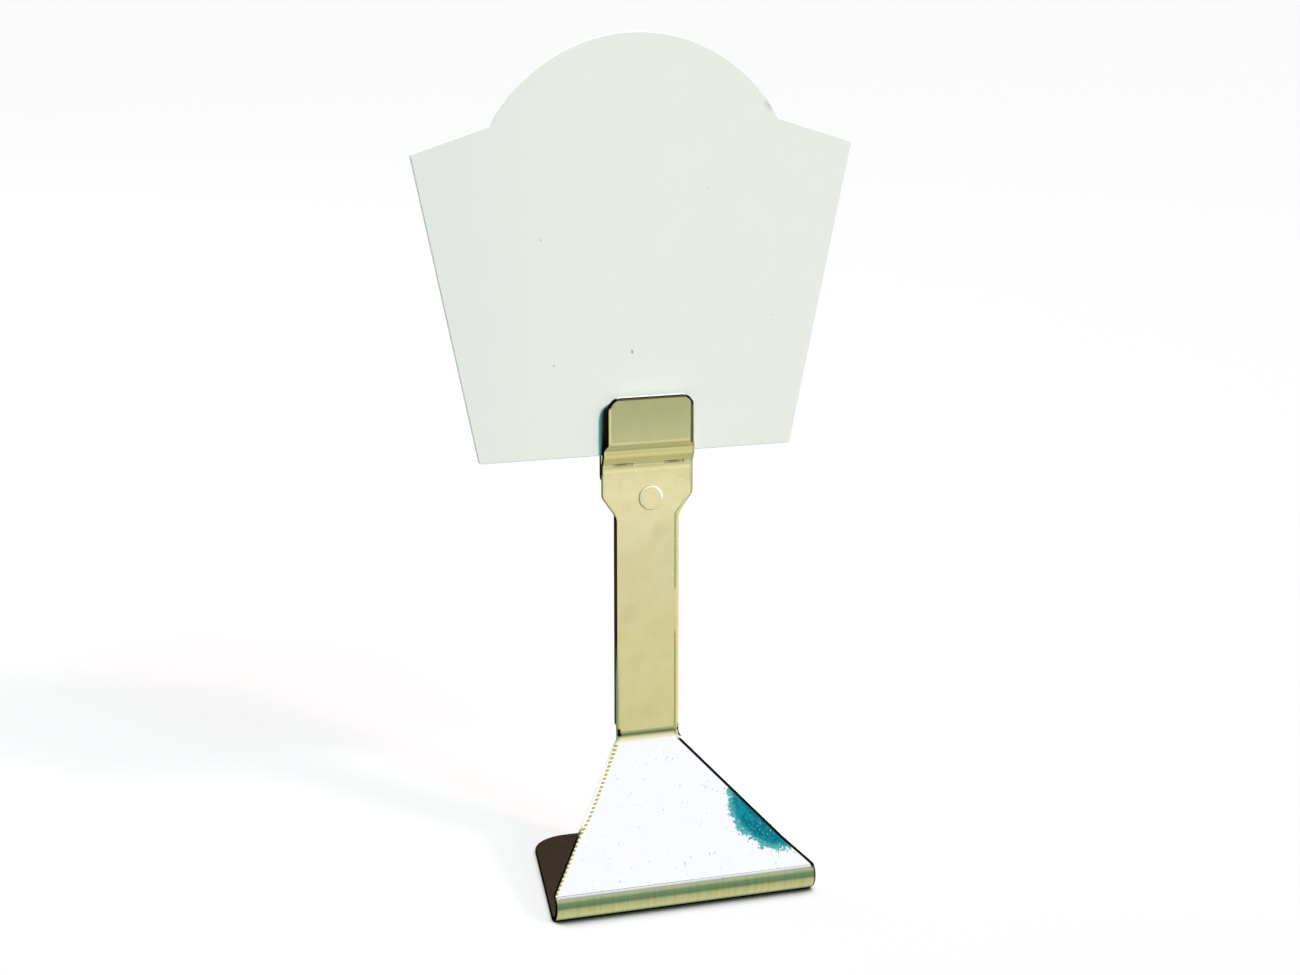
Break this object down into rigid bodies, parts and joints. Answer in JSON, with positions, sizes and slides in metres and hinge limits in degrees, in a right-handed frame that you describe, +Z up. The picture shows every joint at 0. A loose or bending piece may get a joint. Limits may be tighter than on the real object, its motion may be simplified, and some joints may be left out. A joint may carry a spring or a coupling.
{
  "type": "place card holder",
  "caption": "Free-standing place card holder: a bent polished steel stand with a clip at its top that grips a stiff white shaped card.",
  "frame": {"origin": "on the table under the middle of the stem, in the plane where the front strip and the back leaf meet", "axes": "+X to the right as the card is read, +Y to the back, +Z up"},
  "size_m": [0.0826, 0.0422, 0.1555],
  "materials": {
    "polished_steel": "polished stainless steel, mirror bright on the flare, with faint rolling lines",
    "rivet_steel": "polished stainless steel, low domed head",
    "white_card": "satin white plastic sheet"
  },
  "bodies": {
    "stand": {"stand_strip": "polished_steel", "back_leaf": "polished_steel", "rivet": "rivet_steel"},
    "card": {"card": "white_card"}
  },
  "joints": [
    {"name": "card_lift", "type": "slide", "parent": "stand", "child": "card", "axis": [0, 0, 1], "range_m": [0, 0.0125]}
  ]
}
